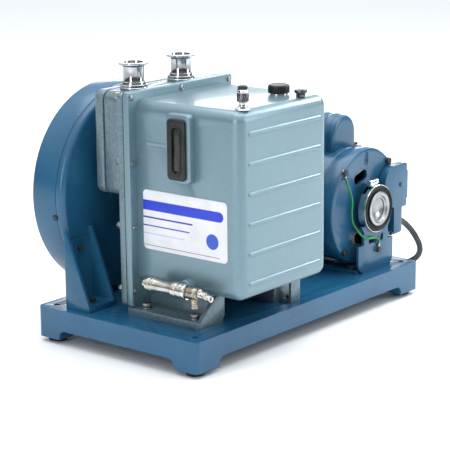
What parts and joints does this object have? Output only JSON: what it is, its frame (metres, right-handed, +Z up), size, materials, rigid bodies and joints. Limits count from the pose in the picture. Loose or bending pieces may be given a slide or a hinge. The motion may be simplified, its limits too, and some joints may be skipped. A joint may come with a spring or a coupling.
{
  "type": "rotary vane vacuum pump",
  "caption": "Belt-driven rotary vane vacuum pump: oil case, clamp-flange vacuum ports, guarded belt drive and resilient-mounted motor on a common base.",
  "frame": {"origin": "middle of the machine's footprint on the floor, below the middle of its bounding box without the loose cord", "axes": "+X along the base from the pump end to the motor end, +Y along the shafts from the oil case to the belt guard, +Z up"},
  "size_m": [0.6169, 0.478, 0.371],
  "materials": {
    "blue_enamel": "semi-gloss enamel",
    "hammered_enamel": "hammered semi-gloss enamel",
    "rubber": "matte",
    "zinc_plate": "zinc plated",
    "polished_steel": "polished stainless",
    "black_plastic": "moulded",
    "sight_glass": "clear",
    "label": "printed label",
    "nickel_plate": "nickel plated",
    "brass": "dull brass",
    "black_chrome": "black oxide",
    "machined_aluminium": "machined",
    "ground_steel": "ground",
    "cast_iron": "cast and machined",
    "vane_laminate": "phenolic laminate",
    "copper_windings": "varnished copper and laminations",
    "green_insulation": "pvc insulation"
  },
  "bodies": {
    "machine": {"base_plate": "blue_enamel", "rubber_feet": "rubber", "oil_case": "hammered_enamel", "body_gaskets": "rubber", "body_plate": "hammered_enamel", "pump_feet": "hammered_enamel", "foot_bolts": "zinc_plate", "case_support": "hammered_enamel", "port_block": "hammered_enamel", "block_cover": "hammered_enamel", "body_fasteners": "zinc_plate", "intake_flange": "polished_steel", "exhaust_flange": "polished_steel", "sight_glass_frame": "black_plastic", "sight_glass_lens": "sight_glass", "label_plate": "label", "drain_pipe": "nickel_plate", "drain_valve": "brass", "ballast_valve": "nickel_plate", "fill_neck": "machined_aluminium", "vent_plug": "nickel_plate", "stage_1_stator": "cast_iron", "stage_2_stator": "cast_iron", "stage_plates": "cast_iron", "exhaust_valves": "ground_steel", "shaft_seal": "rubber", "drive_belt": "rubber", "guard_back": "blue_enamel", "guard_cover": "blue_enamel", "guard_bracket": "blue_enamel", "guard_screws": "black_chrome", "motor_shell": "blue_enamel", "motor_stator": "copper_windings", "front_endbell": "blue_enamel", "rear_endbell": "blue_enamel", "motor_bearings": "ground_steel", "motor_fasteners": "zinc_plate", "resilient_rings": "rubber", "ring_clamps": "nickel_plate", "capacitor_cover": "blue_enamel", "capacitor": "black_plastic", "terminal_box": "blue_enamel", "terminal_cover": "blue_enamel", "motor_cradle": "blue_enamel", "ground_wire": "green_insulation", "cord_gland": "black_plastic", "power_cord": "rubber", "cord_coil": "rubber", "cord_tail": "rubber", "power_plug": "black_plastic"},
    "pump_rotor": {"pump_shaft": "ground_steel", "pump_rotors": "cast_iron", "vanes": "vane_laminate", "pump_pulley": "cast_iron"},
    "motor_rotor_set": {"motor_shaft": "ground_steel", "motor_rotor": "machined_aluminium", "motor_pulley": "cast_iron"},
    "ballast_knob": {"ballast_knob": "black_chrome"},
    "fill_cap": {"fill_cap": "black_plastic"},
    "drain_handle": {"drain_handle": "nickel_plate"}
  },
  "joints": [
    {"name": "pump_spin", "type": "hinge", "parent": "machine", "child": "pump_rotor", "pos_m": [-0.105, 0.1375, 0.182], "axis": [0, 1, 0], "continuous": true},
    {"name": "motor_spin", "type": "hinge", "parent": "machine", "child": "motor_rotor_set", "pos_m": [0.169, 0.1375, 0.137], "axis": [0, 1, 0], "continuous": true},
    {"name": "ballast_knob_turn", "type": "hinge", "parent": "machine", "child": "ballast_knob", "pos_m": [-0.179, -0.1455, 0.345], "axis": [0, 0, 1], "range_deg": [0, 270]},
    {"name": "fill_cap_lift", "type": "slide", "parent": "machine", "child": "fill_cap", "axis": [0, 0, 1], "range_m": [0, 0.03]},
    {"name": "drain_handle_turn", "type": "hinge", "parent": "machine", "child": "drain_handle", "pos_m": [-0.221, -0.1165, 0.098], "axis": [0, 1, 0], "range_deg": [0, 90]}
  ],
  "couplings": [
    {"joint": "motor_spin", "follows": "pump_spin", "ratio": 3.3333}
  ]
}
